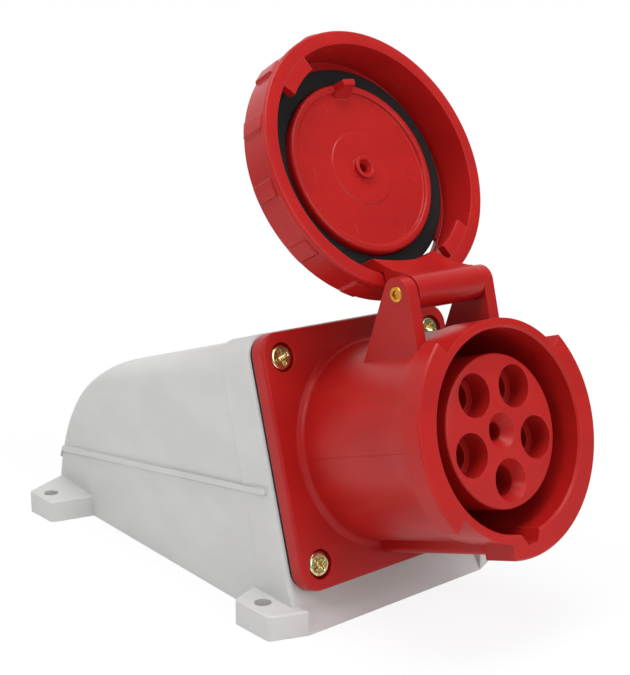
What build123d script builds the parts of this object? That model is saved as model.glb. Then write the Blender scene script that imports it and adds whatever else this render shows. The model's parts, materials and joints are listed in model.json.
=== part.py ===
from build123d import *
import os

# Five-pole surface-mounted wall socket with a hinged bayonet lid.
# Millimetres. The origin is the centre of the four mounting holes on the wall face, +Z points
# away from the wall and -Y towards the mouth of the socket. The lid is modelled open.

os.makedirs("parts", exist_ok=True)

# Mounting feet
hole_pitch_x = 109.0
hole_pitch_y = 157.0
hole_radius = 3.25
foot_height = 9.6
foot_reach = 6.5
foot_length = 20.4
foot_shift = -1.2
front_foot_flare = 0.386
rear_foot_flare = 0.24
foot_root_inset = 2.5
foot_corner = 2.5
foot_top_round = 0.8

# Back box
base_length = 193.0
front_overhang = 17.0
box_width_front = 99.6
box_width_rear = 80.3
box_wall = 3.0
box_edge_round = 10.0
roof_slope = 14.1
rear_draft = 10.0
roof_v = 45.95
dome_radius = 97.0
plinth_corner = 4.0
seat_low_v = -51.0
collar_half = 48.5
collar_back = 26.0
seat_edge_round = 2.0
plinth_rise = 12.0
entry_boss_length = 40.0
band_height = 2.5
band_proud = 1.1
band_slope = 9.9
band_start_height = 51.2
band_start_setback = 21.4
opening_half = 44.0
opening_corner = 6.0
boss_radius = 6.0
boss_length = 22.0

# Socket axis
axis_tilt = 16.2
axis_height = 62.2
axis_setback = 13.0

# Flange
flange_half = 48.2
flange_corner = 8.0
flange_thickness = 6.2
flange_edge_round = 1.2
gasket_thickness = 1.8
gasket_half = 47.7
screw_pitch_x = 78.0
screw_pitch_y = 77.2
screw_radius = 2.0
screw_length = 20.0
screw_head_radius = 4.7
screw_head_height = 2.3
screw_recess_radius = 5.6
screw_recess_depth = 3.0
cross_length = 5.2
cross_width = 1.1
cross_depth = 1.3
cross_turn = 20

# Barrel
barrel_length = 69.2
barrel_radius = 38.2
barrel_root_round = 3.0
mouth_radius = 39.1
mouth_taper_start = barrel_length - 20.2
mouth_taper_end = barrel_length - 17.2
bore_radius = 35.75
mouth_chamfer = 0.8
lobe_radius = 44.6
lobe_thickness = 8.0
lobe_chamfer = 0.6
right_lobe_start = -102.5
right_lobe_end = 40.0
left_lobe_start = 129.0
left_lobe_end = 219.0
stop_half = 9.7
stop_thickness = 14.2
key_boss_half = 9.0
key_boss_reach = 42.3
key_boss_round = 2.5
key_mouth_half = 5.2
key_floor_half = 2.7
key_floor_reach = 39.6
key_end = 6.0

# Hinge
hinge_n = barrel_length - 21.9
hinge_v = 53.2
hinge_radius = 6.0
ear_inner = 17.0
ear_outer = 22.0
ear_rear_foot = hinge_n - 23.3
ear_front_foot = hinge_n + 5.3
ear_foot_v = 31.0
pin_radius = 2.9
pin_proud = 0.4
pin_bevel = 0.5
pin_dimple_radius = 1.5
pin_dimple_depth = 1.2
pin_seat_clearance = 0.02
pin_running_clearance = 0.08
knuckle_radius = 6.5
knuckle_gap = 0.4
lid_opening = 188.93
lid_drop = 0.35

# Contact insert
insert_radius = 27.28
insert_recess = 4.95
insert_edge_round = 0.8
insert_foot_clearance = 0.25
insert_foot_height = 2.0
insert_base_radius = 41.5
insert_base_thickness = 4.0
contact_circle = 17.5
earth_angle = 270.0
contact_pitch = 72.0
mouth_hole_radius = 7.8
mouth_hole_depth = 9.0
throat_radius = 5.4
earth_cone_depth = 4.6
pilot_mouth_radius = 6.5
pilot_throat_radius = 3.3
pilot_cone_depth = 4.0
chamber_front = 12.4
insert_screw_circle = 38.4
insert_screw_radius = 1.5
insert_screw_length = 8.0
insert_screw_head_radius = 2.7
insert_screw_head_height = 2.0

# Contacts and terminals
phase_pin_radius = 4.0
earth_pin_radius = 5.0
pilot_pin_radius = 3.0
pin_entry_clearance = 0.08
sleeve_wall = 1.3
chamber_clearance = 0.1
sleeve_depth = 46.0
sleeve_slot_width = 1.2
sleeve_slot_length = 22.0
terminal_length = 17.0
terminal_radius = 7.4
pilot_terminal_radius = 5.2
wire_hole_radius = 3.3
pilot_wire_hole_radius = 2.0
wire_hole_depth = 14.0
terminal_screw_radius = 2.5
terminal_screw_length = 6.6
terminal_screw_setback = 9.0
terminal_screw_clearance = 0.05

# Lid: distances along the socket axis, measured with the lid closed
lid_gasket_gap = 0.2
lid_gasket_thickness = 2.0
lid_gasket_inner = 33.9
lid_gasket_outer = 41.0
cap_plate_radius = 41.3
cap_plate_thickness = 2.6
cap_hub_radius = 36.2
cap_hub_height = 5.0
cap_hub_wall = 2.6
cap_bead_proud = 0.7
cap_bead_height = 1.4
cap_boss_radius = 5.0
arm_half = 15.6
arm_inner_radius = 40.0
arm_outer_radius = 45.5
arm_gasket_clearance = 0.2
arm_lip_clearance = 0.7
disc_radius = 33.8
disc_rim_inner = 30.8
disc_rim_face = barrel_length - 2.8
disc_field_depth = 1.5
disc_edge_round = 1.4
disc_step_radius = 14.3
disc_step_height = 0.35
disc_boss_radius = 4.5
disc_boss_proud = 0.9
disc_hole_radius = 1.9
disc_hole_mouth = 3.1
disc_hole_cone = 2.4
tongue_proud = 5.4
tongue_root_half = 4.6
tongue_tip_half = 3.1
tongue_reach = 33.4
tongue_inner = 31.0
tongue_gusset = 27.0
lid_screw_radius = 1.85
lid_screw_head_radius = 3.4
lid_screw_head_height = 2.0
lid_screw_tip_setback = 3.0

# Locking ring
ring_lip_face = barrel_length - 11.7
ring_lip_radius = 51.5
ring_lip_depth = 2.3
ring_recess_radius = 51.0
ring_grip_radius = 52.2
ring_grip_end = barrel_length + 1.3
ring_grip_count = 13
ring_grip_width = 7.8
ring_grip_first = -132.2
ring_inner_radius = 46.0
ring_flange_gap = 0.2
ring_flange_thickness = 2.2
ring_flange_inner = 36.6
ring_back_radius = 46.5
ring_chamfer_start = barrel_length + 2.0
tab_inner_radius = 40.75
tab_thickness = 3.4
tab_starts = (41.0, -140.0)
tab_sweep = 21.0
window_inner = 41.6
window_outer = 45.4

# Cable entry
entry_height = 27.5
entry_reach = 184.0
entry_thread_radius = 19.9
entry_bore_radius = 16.4
seal_inner_radius = 12.0
seal_clearance = 0.2
seal_length = 8.0
nut_radius = 23.0
nut_length = 9.5
nut_front = 176.5
nut_mouth_radius = 14.6
nut_thread_clearance = 0.1
nut_rib_count = 24

# Planes that every piece is placed by
base_front = -hole_pitch_y / 2 - front_overhang
base_rear = base_front + base_length
tilt = Vector(0, 0, 1).rotate(Axis.X, 90 - axis_tilt)
BARREL = Plane(origin=(0, base_front + axis_setback, axis_height), x_dir=(1, 0, 0), z_dir=tilt)
SECTION = Plane(origin=BARREL.origin, x_dir=BARREL.z_dir, z_dir=(-1, 0, 0))
HINGE = SECTION.from_local_coords(Vector(hinge_n, hinge_v, 0))
closed_origin = BARREL.from_local_coords(Vector(0, -lid_drop, 0))
open_origin = HINGE + (closed_origin - HINGE).rotate(Axis.X, -lid_opening)
LID = Plane(origin=open_origin, x_dir=(1, 0, 0), z_dir=BARREL.z_dir.rotate(Axis.X, -lid_opening))
LID_SECTION = Plane(origin=LID.origin, x_dir=LID.z_dir, z_dir=(-1, 0, 0))
seat = -flange_thickness - gasket_thickness
insert_face = barrel_length - insert_recess
insert_back = -flange_thickness - insert_base_thickness
gasket_face = barrel_length + lid_gasket_gap
cap_face = gasket_face + lid_gasket_thickness
cap_back = cap_face + cap_plate_thickness
ring_flange_face = cap_back + ring_flange_gap


def sector(inner, outer, start, end):
    """Flat piece of a ring between two radii, anticlockwise from start to end in degrees."""
    with BuildSketch() as piece:
        with BuildLine():
            near = CenterArc((0, 0), inner, start, end - start)
            far = CenterArc((0, 0), outer, start, end - start)
            Line(near @ 0, far @ 0)
            Line(near @ 1, far @ 1)
        make_face()
    return piece.sketch


def box_body(grow):
    """Tapered, domed body of the box; every wall moves outward by grow."""
    seat_low = BARREL.from_local_coords(Vector(0, seat_low_v, seat))
    roof_drop = Vector(0, 1, 0).rotate(Axis.X, -roof_slope)
    rear_rise = Vector(0, 0, 1).rotate(Axis.X, rear_draft)
    seat_high = BARREL.from_local_coords(Vector(0, roof_v, seat))
    rear_foot = Vector(0, base_rear, 0)
    climb = (seat_high - rear_foot).cross(roof_drop).X / rear_rise.cross(roof_drop).X
    corner = rear_foot + rear_rise * climb
    with BuildPart() as body:
        with BuildSketch(Plane.XY):
            with BuildLine():
                Polyline(
                    (-box_width_front / 2, base_front),
                    (box_width_front / 2, base_front),
                    (box_width_rear / 2, base_rear),
                    (-box_width_rear / 2, base_rear),
                    close=True,
                )
            make_face()
            offset(amount=grow, kind=Kind.INTERSECTION)
            fillet(vertices().group_by(Axis.Y)[0], plinth_corner + grow)
        extrude(amount=axis_height * 2)
        with BuildSketch(Plane.YZ):
            with BuildLine():
                Polyline(
                    (base_front, 0),
                    (seat_low.Y, seat_low.Z),
                    (seat_high.Y, seat_high.Z),
                    (corner.Y, corner.Z),
                    (base_rear, 0),
                    close=True,
                )
            make_face()
            offset(amount=grow, kind=Kind.INTERSECTION)
            fillet(vertices().sort_by(Axis((0, 0, 0), (1, 1, 0)))[-1], dome_radius + grow)
        extrude(amount=box_width_front, both=True, mode=Mode.INTERSECT)
        roof = faces().filter_by(lambda face: abs(face.normal_at().X) < 0.001)
        rim = roof.edges().filter_by(lambda edge: abs(edge.tangent_at(0.5).X) < 0.2)
        upper = rim.filter_by(lambda edge: edge.center().Y > seat_low.Y + plinth_rise)
        upper = upper.filter_by(lambda edge: edge.center().Z > foot_height / 2)
        upper = upper.filter_by(
            lambda edge: abs(BARREL.to_local_coords(edge.center()).Z - seat) > 2 * box_wall
        )
        fillet(upper, box_edge_round + grow)
        seat_sides = edges().filter_by(
            lambda edge: edge.length > flange_half
            and abs(edge.tangent_at(0.5).X) < 0.2
            and abs(BARREL.to_local_coords(edge.center()).Z - seat) < abs(grow) + 0.01
        )
        fillet(seat_sides, max(seat_edge_round + grow, foot_top_round))
    return body.part


# Back box: closed moulding, open only at the tilted seat
with BuildPart() as back_box:
    add(box_body(0))
    with BuildPart(mode=Mode.PRIVATE) as collar:
        with BuildSketch(BARREL.offset(-collar_back)):
            RectangleRounded(2 * collar_half, 2 * collar_half, flange_corner)
        extrude(amount=collar_back + seat)
        fillet(faces().sort_by(Axis(BARREL.origin, BARREL.z_dir))[-1].edges(), seat_edge_round)
    add(collar.part)
    # Feet, flared into the side walls
    for side in (-1, 1):
        for end, flare in ((-1, front_foot_flare), (1, rear_foot_flare)):
            centre_x = side * hole_pitch_x / 2
            centre_y = end * hole_pitch_y / 2 + foot_shift
            outer_x = centre_x + side * foot_reach
            taper = (box_width_front - box_width_rear) / 2 * (centre_y - base_front) / base_length
            root_x = side * (box_width_front / 2 - taper - foot_root_inset)
            spread = foot_length / 2 + flare * abs(outer_x - root_x)
            with BuildSketch(Plane.XY, mode=Mode.PRIVATE) as foot:
                with BuildLine():
                    Polyline(
                        (outer_x, centre_y - foot_length / 2),
                        (outer_x, centre_y + foot_length / 2),
                        (root_x, centre_y + spread),
                        (root_x, centre_y - spread),
                        close=True,
                    )
                make_face()
                tips = foot.vertices().filter_by(lambda v: abs(v.X) > box_width_front / 2 + 2)
                fillet(tips, foot_corner)
                with Locations((0, base_front)):
                    Rectangle(
                        2 * hole_pitch_x, 2 * base_length, align=(Align.CENTER, Align.MIN), mode=Mode.INTERSECT
                    )
            with BuildPart(mode=Mode.PRIVATE) as foot_block:
                extrude(foot.sketch, amount=foot_height)
                fillet(faces().sort_by(Axis.Z)[-1].edges(), foot_top_round)
            add(foot_block.part)
    # Raised band round the sides and the rear
    with BuildPart(mode=Mode.PRIVATE) as band:
        add(box_body(band_proud))
        band_dir = Vector(0, 1, 0).rotate(Axis.X, -band_slope)
        band_start = Vector(0, base_front + band_start_setback, band_start_height)
        band_end = band_start + band_dir * base_length
        with BuildSketch(Plane.YZ):
            with BuildLine():
                Polyline(
                    (band_start.Y, band_start.Z),
                    (band_end.Y, band_end.Z),
                    (band_end.Y, band_end.Z - band_height),
                    (band_start.Y, band_start.Z - band_height),
                    close=True,
                )
            make_face()
        extrude(amount=box_width_front, both=True, mode=Mode.INTERSECT)
    add(band.part)
    # Cable entry spigot
    with BuildSketch(Plane.XZ.offset(-(base_front + front_overhang + entry_reach))):
        with Locations((0, entry_height)):
            Circle(entry_thread_radius)
    extrude(amount=entry_boss_length)
    # Hollow inside, bounded by a front rim
    with BuildPart(mode=Mode.PRIVATE) as hollow:
        add(box_body(-box_wall))
        split(bisect_by=BARREL.offset(seat - box_wall), keep=Keep.BOTTOM)
        with BuildSketch(BARREL.offset(seat - box_wall - 1)):
            RectangleRounded(2 * opening_half, 2 * opening_half, opening_corner)
        extrude(amount=box_wall + 2)
    add(hollow.part, mode=Mode.SUBTRACT)
    # Screw bosses behind the seat
    with BuildSketch(BARREL.offset(seat - boss_length)):
        with GridLocations(screw_pitch_x, screw_pitch_y, 2, 2):
            Circle(boss_radius)
    extrude(amount=boss_length)
    with BuildSketch(BARREL.offset(seat)):
        with GridLocations(screw_pitch_x, screw_pitch_y, 2, 2):
            Circle(screw_radius + pin_seat_clearance)
    extrude(amount=-(boss_length - 2), mode=Mode.SUBTRACT)
    # Mounting holes and the bore of the cable entry
    with BuildSketch(Plane.XY):
        with GridLocations(hole_pitch_x, hole_pitch_y, 2, 2):
            Circle(hole_radius)
    extrude(amount=foot_height, mode=Mode.SUBTRACT)
    with BuildSketch(Plane.XZ.offset(-(base_front + front_overhang + entry_reach))):
        with Locations((0, entry_height)):
            Circle(entry_bore_radius)
    extrude(amount=entry_boss_length + box_wall, mode=Mode.SUBTRACT)
back_box.part.label = "back_box"
export_step(back_box.part, "parts/back_box.step")

# Flange gasket: flat sheet under the flange
with BuildPart() as flange_gasket:
    with BuildSketch(BARREL.offset(seat)):
        RectangleRounded(2 * gasket_half, 2 * gasket_half, flange_corner)
        Circle(insert_base_radius + 0.5, mode=Mode.SUBTRACT)
        with GridLocations(screw_pitch_x, screw_pitch_y, 2, 2):
            Circle(screw_radius + 0.2, mode=Mode.SUBTRACT)
    extrude(amount=gasket_thickness)
flange_gasket.part.label = "flange_gasket"
export_step(flange_gasket.part, "parts/flange_gasket.step")

# Socket housing: flange, barrel, bayonet lobes, key boss and hinge ears in one moulding
with BuildPart() as socket_housing:
    with BuildSketch(BARREL.offset(-flange_thickness)):
        RectangleRounded(2 * flange_half, 2 * flange_half, flange_corner)
    extrude(amount=flange_thickness)
    fillet(faces().sort_by(Axis(BARREL.origin, BARREL.z_dir))[-1].edges(), flange_edge_round)
    with BuildSketch(SECTION):
        with BuildLine():
            root = Polyline(
                (-1, 0),
                (-1, barrel_radius + barrel_root_round),
                (0, barrel_radius + barrel_root_round),
            )
            root_arc = CenterArc(
                (barrel_root_round, barrel_radius + barrel_root_round), barrel_root_round, 180, 90
            )
            Polyline(
                root_arc @ 1,
                (mouth_taper_start, barrel_radius),
                (mouth_taper_end, mouth_radius),
                (barrel_length, mouth_radius),
                (barrel_length, 0),
                (-1, 0),
            )
        make_face()
    revolve(axis=Axis(BARREL.origin, BARREL.z_dir))
    # Bayonet lobes at the mouth, with the thick stop at the bottom
    with BuildSketch(BARREL.offset(barrel_length - lobe_thickness)) as lobes:
        add(sector(bore_radius, lobe_radius, right_lobe_start, right_lobe_end))
        add(sector(bore_radius, lobe_radius, left_lobe_start, left_lobe_end))
    extrude(amount=lobe_thickness)
    with BuildSketch(BARREL.offset(barrel_length - stop_thickness)) as stop:
        Circle(lobe_radius)
        Circle(bore_radius, mode=Mode.SUBTRACT)
        with Locations((0, -lobe_radius)):
            Rectangle(2 * stop_half, 2 * lobe_radius, mode=Mode.INTERSECT)
    extrude(amount=stop_thickness)
    lobe_front = edges().filter_by(
        lambda edge: edge.geom_type == GeomType.CIRCLE
        and abs(edge.radius - lobe_radius) < 0.01
        and abs(BARREL.to_local_coords(edge @ 0.5).Z - barrel_length) < 0.01
    )
    chamfer(lobe_front, lobe_chamfer)
    # Key boss along the bottom
    with BuildSketch(BARREL) as key_boss:
        with Locations((0, -key_boss_reach / 2)):
            Rectangle(2 * key_boss_half, key_boss_reach)
        fillet(key_boss.vertices().group_by(Axis.Y)[0], key_boss_round)
    extrude(amount=barrel_length - lobe_thickness)
    # Hinge ears
    with BuildSketch(SECTION.offset(ear_inner)) as ear:
        with Locations((hinge_n, hinge_v)):
            Circle(hinge_radius)
        with BuildLine():
            Polyline(
                (ear_rear_foot, ear_foot_v),
                (ear_front_foot, ear_foot_v),
                (hinge_n, hinge_v),
                close=True,
            )
        make_face()
        make_hull()
    extrude(amount=ear_outer - ear_inner)
    with BuildSketch(SECTION.offset(-ear_outer)) as other_ear:
        add(ear.sketch_local)
    extrude(amount=ear_outer - ear_inner)
    # Bore, keyway and holes
    with BuildSketch(BARREL.offset(-flange_thickness)):
        Circle(bore_radius)
    extrude(amount=flange_thickness + barrel_length, mode=Mode.SUBTRACT)
    with BuildSketch(BARREL.offset(key_end)):
        with BuildLine():
            Polyline(
                (-key_mouth_half, -bore_radius + 3),
                (key_mouth_half, -bore_radius + 3),
                (key_mouth_half, -bore_radius + 0.8),
                (key_floor_half, -key_floor_reach),
                (-key_floor_half, -key_floor_reach),
                (-key_mouth_half, -bore_radius + 0.8),
                close=True,
            )
        make_face()
    extrude(amount=barrel_length - key_end, mode=Mode.SUBTRACT)
    mouth_edge = edges().filter_by(
        lambda edge: edge.geom_type == GeomType.CIRCLE
        and abs(edge.radius - bore_radius) < 0.01
        and abs(BARREL.to_local_coords(edge @ 0.5).Z - barrel_length) < 0.01
    )
    chamfer(mouth_edge, mouth_chamfer)
    with BuildSketch(BARREL):
        with GridLocations(screw_pitch_x, screw_pitch_y, 2, 2):
            Circle(screw_recess_radius)
    extrude(amount=-screw_recess_depth, mode=Mode.SUBTRACT)
    with BuildSketch(BARREL):
        with GridLocations(screw_pitch_x, screw_pitch_y, 2, 2):
            Circle(screw_radius + 0.2)
    extrude(amount=-flange_thickness, mode=Mode.SUBTRACT)
    with BuildSketch(BARREL.offset(-flange_thickness)):
        with PolarLocations(insert_screw_circle, 4, start_angle=45):
            Circle(insert_screw_radius + pin_seat_clearance)
    extrude(amount=insert_screw_length - insert_base_thickness + 0.4, mode=Mode.SUBTRACT)
    with BuildSketch(SECTION.offset(ear_outer)):
        with Locations((hinge_n, hinge_v)):
            Circle(pin_radius + pin_seat_clearance)
    extrude(amount=-2 * ear_outer, mode=Mode.SUBTRACT)
socket_housing.part.label = "socket_housing"
export_step(socket_housing.part, "parts/socket_housing.step")

# Contacts: name, place on the insert's face, pin radius, terminal radius, wire hole radius
places = {
    "contact_l1": earth_angle - 3 * contact_pitch,
    "contact_l2": earth_angle - 2 * contact_pitch,
    "contact_l3": earth_angle - contact_pitch,
    "contact_neutral": earth_angle + contact_pitch,
    "contact_earth": earth_angle,
}
contacts = {}
for name, angle in places.items():
    spot = Vector(contact_circle, 0).rotate(Axis.Z, angle)
    pin = earth_pin_radius if name == "contact_earth" else phase_pin_radius
    contacts[name] = (spot, pin, terminal_radius, wire_hole_radius)
contacts["contact_pilot"] = (Vector(0, 0), pilot_pin_radius, pilot_terminal_radius, pilot_wire_hole_radius)
chamber_face = insert_face - chamber_front

# Contact insert: foot flange at the back, column with stepped mouths
with BuildPart() as contact_insert:
    with BuildSketch(SECTION):
        with BuildLine():
            Polyline(
                (insert_back, 0),
                (insert_back, insert_base_radius),
                (-flange_thickness, insert_base_radius),
                (-flange_thickness, bore_radius - insert_foot_clearance),
                (insert_foot_height, bore_radius - insert_foot_clearance),
                (insert_foot_height, insert_radius),
                (insert_face, insert_radius),
                (insert_face, 0),
                close=True,
            )
        make_face()
    revolve(axis=Axis(BARREL.origin, BARREL.z_dir))
    fillet(faces().sort_by(Axis(BARREL.origin, BARREL.z_dir))[-1].edges(), insert_edge_round)
    for name, (spot, pin, terminal, wire) in contacts.items():
        with Locations(BARREL.offset(insert_face)):
            with Locations((spot.X, spot.Y)):
                if name == "contact_pilot":
                    Hole(pilot_throat_radius, chamber_front)
                elif name == "contact_earth":
                    Hole(throat_radius, chamber_front)
                else:
                    CounterBoreHole(throat_radius, mouth_hole_radius, mouth_hole_depth, chamber_front)
        with BuildSketch(BARREL.offset(insert_back)):
            with Locations((spot.X, spot.Y)):
                Circle(pin + pin_entry_clearance + sleeve_wall + chamber_clearance)
        extrude(amount=chamber_face - insert_back, mode=Mode.SUBTRACT)
    # Lead-in cones of the earth and pilot mouths
    for name, big, small, depth in (
        ("contact_earth", mouth_hole_radius, throat_radius, earth_cone_depth),
        ("contact_pilot", pilot_mouth_radius, pilot_throat_radius, pilot_cone_depth),
    ):
        spot = contacts[name][0]
        with BuildSketch(BARREL.offset(insert_face)):
            with Locations((spot.X, spot.Y)):
                Circle(big)
        with BuildSketch(BARREL.offset(insert_face - depth)):
            with Locations((spot.X, spot.Y)):
                Circle(small)
        loft(mode=Mode.SUBTRACT)
    with BuildSketch(BARREL.offset(insert_back)):
        with PolarLocations(insert_screw_circle, 4, start_angle=45):
            Circle(insert_screw_radius + 0.1)
    extrude(amount=insert_base_thickness, mode=Mode.SUBTRACT)
contact_insert.part.label = "contact_insert"
export_step(contact_insert.part, "parts/contact_insert.step")

# Contact sleeves, split at the front and with a screw terminal behind the insert
for name, (spot, pin, terminal, wire) in contacts.items():
    sleeve_bore = pin + pin_entry_clearance
    sleeve_outer = sleeve_bore + sleeve_wall
    radial = Vector(0, 1) if name == "contact_pilot" else spot.normalized()
    spot_plane = Plane(
        origin=BARREL.from_local_coords(Vector(spot.X, spot.Y, 0)), x_dir=(1, 0, 0), z_dir=BARREL.z_dir
    )
    with BuildPart() as contact:
        with BuildSketch(spot_plane.offset(insert_back)):
            Circle(sleeve_outer)
        extrude(amount=chamber_face - 0.2 - insert_back)
        with BuildSketch(spot_plane.offset(insert_back)):
            Circle(terminal)
        extrude(amount=-terminal_length)
        with BuildSketch(spot_plane.offset(chamber_face - 0.2)):
            Circle(sleeve_bore)
        extrude(amount=-sleeve_depth, mode=Mode.SUBTRACT)
        with BuildSketch(spot_plane.offset(chamber_face - 0.2)):
            Rectangle(3 * sleeve_outer, sleeve_slot_width)
        extrude(amount=-sleeve_slot_length, mode=Mode.SUBTRACT)
        with BuildSketch(spot_plane.offset(insert_back - terminal_length)):
            Circle(wire)
        extrude(amount=wire_hole_depth, mode=Mode.SUBTRACT)
        screw_seat = spot_plane.from_local_coords(Vector(0, 0, insert_back - terminal_screw_setback))
        screw_dir = BARREL.x_dir * radial.X + BARREL.y_dir * radial.Y
        with BuildSketch(Plane(origin=screw_seat, z_dir=screw_dir)):
            Circle(terminal_screw_radius + terminal_screw_clearance)
        extrude(amount=terminal + 1, mode=Mode.SUBTRACT)
    contact.part.label = name
    export_step(contact.part, f"parts/{name}.step")

# Terminal screws, one in each contact, pointing outward
with BuildPart() as terminal_screws:
    for name, (spot, pin, terminal, wire) in contacts.items():
        radial = Vector(0, 1) if name == "contact_pilot" else spot.normalized()
        start = spot + radial * (wire - 0.6)
        screw_seat = BARREL.from_local_coords(
            Vector(start.X, start.Y, insert_back - terminal_screw_setback)
        )
        screw_dir = BARREL.x_dir * radial.X + BARREL.y_dir * radial.Y
        length = terminal_screw_length if terminal == terminal_radius else terminal_screw_length - 1.2
        with BuildSketch(Plane(origin=screw_seat, z_dir=screw_dir)):
            Circle(terminal_screw_radius)
        extrude(amount=length)
terminal_screws.part.label = "terminal_screws"
export_step(terminal_screws.part, "parts/terminal_screws.step")

# Insert screws, from behind into the housing
with BuildPart() as insert_screws:
    with BuildSketch(BARREL.offset(insert_back)):
        with PolarLocations(insert_screw_circle, 4, start_angle=45):
            Circle(insert_screw_radius)
    extrude(amount=insert_screw_length)
    with BuildSketch(BARREL.offset(insert_back)):
        with PolarLocations(insert_screw_circle, 4, start_angle=45):
            Circle(insert_screw_head_radius)
    extrude(amount=-insert_screw_head_height)
insert_screws.part.label = "insert_screws"
export_step(insert_screws.part, "parts/insert_screws.step")

# Flange screws: rounded cross-recess heads in the flange's pockets
head_seat = -screw_recess_depth
with BuildPart() as flange_screws:
    with BuildSketch(BARREL.offset(head_seat)):
        with GridLocations(screw_pitch_x, screw_pitch_y, 2, 2):
            Circle(screw_head_radius)
    extrude(amount=screw_head_height)
    head_rims = faces().filter_by(
        lambda face: abs(BARREL.to_local_coords(face.center()).Z - head_seat - screw_head_height) < 0.01
    )
    fillet(head_rims.edges(), screw_head_height * 0.6)
    with BuildSketch(BARREL.offset(head_seat)):
        with GridLocations(screw_pitch_x, screw_pitch_y, 2, 2):
            Circle(screw_radius)
    extrude(amount=-screw_length)
    with BuildSketch(BARREL.offset(head_seat + screw_head_height)):
        with GridLocations(screw_pitch_x, screw_pitch_y, 2, 2):
            Rectangle(cross_length, cross_width, rotation=cross_turn)
            Rectangle(cross_width, cross_length, rotation=cross_turn)
    extrude(amount=-cross_depth, mode=Mode.SUBTRACT)
flange_screws.part.label = "flange_screws"
export_step(flange_screws.part, "parts/flange_screws.step")

# Hinge pin, bevelled and dimpled at both ends
pin_half = ear_outer + pin_proud
with BuildPart() as hinge_pin:
    with BuildSketch(Plane(origin=HINGE, x_dir=BARREL.z_dir, z_dir=(-1, 0, 0))):
        Circle(pin_radius)
    extrude(amount=pin_half, both=True)
    chamfer(faces().filter_by(Axis.X).edges(), pin_bevel)
    for side in (-1, 1):
        end = Plane(origin=HINGE + Vector(side * pin_half, 0, 0), z_dir=(side, 0, 0))
        with BuildSketch(end):
            Circle(pin_dimple_radius)
        extrude(amount=-pin_dimple_depth, mode=Mode.SUBTRACT)
hinge_pin.part.label = "hinge_pin"
export_step(hinge_pin.part, "parts/hinge_pin.step")

# Lid cap: plate and hub with the hinge arm; drawn closed, on the open lid's planes
lid_axis = Axis(LID.origin, LID.z_dir)
hinge_in_lid = (hinge_n, hinge_v + lid_drop)
hub_top = cap_back + cap_hub_height
with BuildPart() as lid_cap:
    with BuildSketch(LID.offset(cap_face)):
        Circle(cap_plate_radius)
    extrude(amount=cap_plate_thickness)
    # Hinge arm: profile across the lid, cut to the ring's and the barrel's curves
    with BuildSketch(LID_SECTION.offset(-arm_half)):
        with BuildLine():
            Polyline(
                (cap_back, arm_inner_radius - 4),
                (cap_back, arm_outer_radius + 1),
                (ring_lip_face - arm_lip_clearance, arm_outer_radius + 1),
                (hinge_n + knuckle_radius - 0.9, hinge_in_lid[1] + 2.5),
                (hinge_n, hinge_in_lid[1]),
                (hinge_n - knuckle_radius + 0.5, hinge_in_lid[1] - 2.0),
                (hinge_n - 2.8, hinge_in_lid[1] - 5.9),
                (hinge_n + 4.7, hinge_in_lid[1] - 9.8),
                (hinge_n + 13.7, arm_inner_radius - 4),
                close=True,
            )
        make_face()
    extrude(amount=2 * arm_half)
    with BuildSketch(LID.offset(ring_lip_face - arm_lip_clearance)):
        Circle(arm_outer_radius + 20)
        Circle(arm_outer_radius, mode=Mode.SUBTRACT)
    extrude(amount=cap_back, mode=Mode.SUBTRACT)
    with BuildSketch(LID.offset(hinge_n)):
        Circle(arm_inner_radius)
    extrude(amount=cap_face - hinge_n, mode=Mode.SUBTRACT)
    with BuildSketch(LID.offset(gasket_face - arm_gasket_clearance)):
        Circle(lid_gasket_outer + arm_gasket_clearance)
    extrude(amount=lid_gasket_thickness + arm_gasket_clearance, mode=Mode.SUBTRACT)
    # Hub that carries the ring, hollow behind the disc
    with BuildSketch(LID.offset(cap_face)):
        Circle(cap_hub_radius)
    extrude(amount=hub_top - cap_face)
    with BuildSketch(LID.offset(hub_top - cap_bead_height)):
        Circle(cap_hub_radius + cap_bead_proud)
    extrude(amount=cap_bead_height)
    with BuildSketch(LID.offset(cap_face)):
        Circle(cap_hub_radius - cap_hub_wall - 1)
        Circle(cap_boss_radius, mode=Mode.SUBTRACT)
    extrude(amount=hub_top - cap_hub_wall - cap_face, mode=Mode.SUBTRACT)
    with BuildSketch(LID.offset(cap_face)):
        Circle(lid_screw_radius + 0.2)
    extrude(amount=hub_top - cap_face, mode=Mode.SUBTRACT)
    # Knuckle round the pin
    with BuildSketch(LID_SECTION.offset(-(ear_inner - knuckle_gap))):
        with Locations(hinge_in_lid):
            Circle(knuckle_radius)
    extrude(amount=2 * (ear_inner - knuckle_gap))
    with BuildSketch(LID_SECTION.offset(-ear_inner)):
        with Locations(hinge_in_lid):
            Circle(pin_radius + pin_running_clearance)
    extrude(amount=2 * ear_inner, mode=Mode.SUBTRACT)
lid_cap.part.label = "lid_cap"
export_step(lid_cap.part, "parts/lid_cap.step")

# Lid gasket
with BuildPart() as lid_gasket:
    with BuildSketch(LID.offset(gasket_face)):
        Circle(lid_gasket_outer)
        Circle(lid_gasket_inner, mode=Mode.SUBTRACT)
    extrude(amount=lid_gasket_thickness)
lid_gasket.part.label = "lid_gasket"
export_step(lid_gasket.part, "parts/lid_gasket.step")

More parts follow.
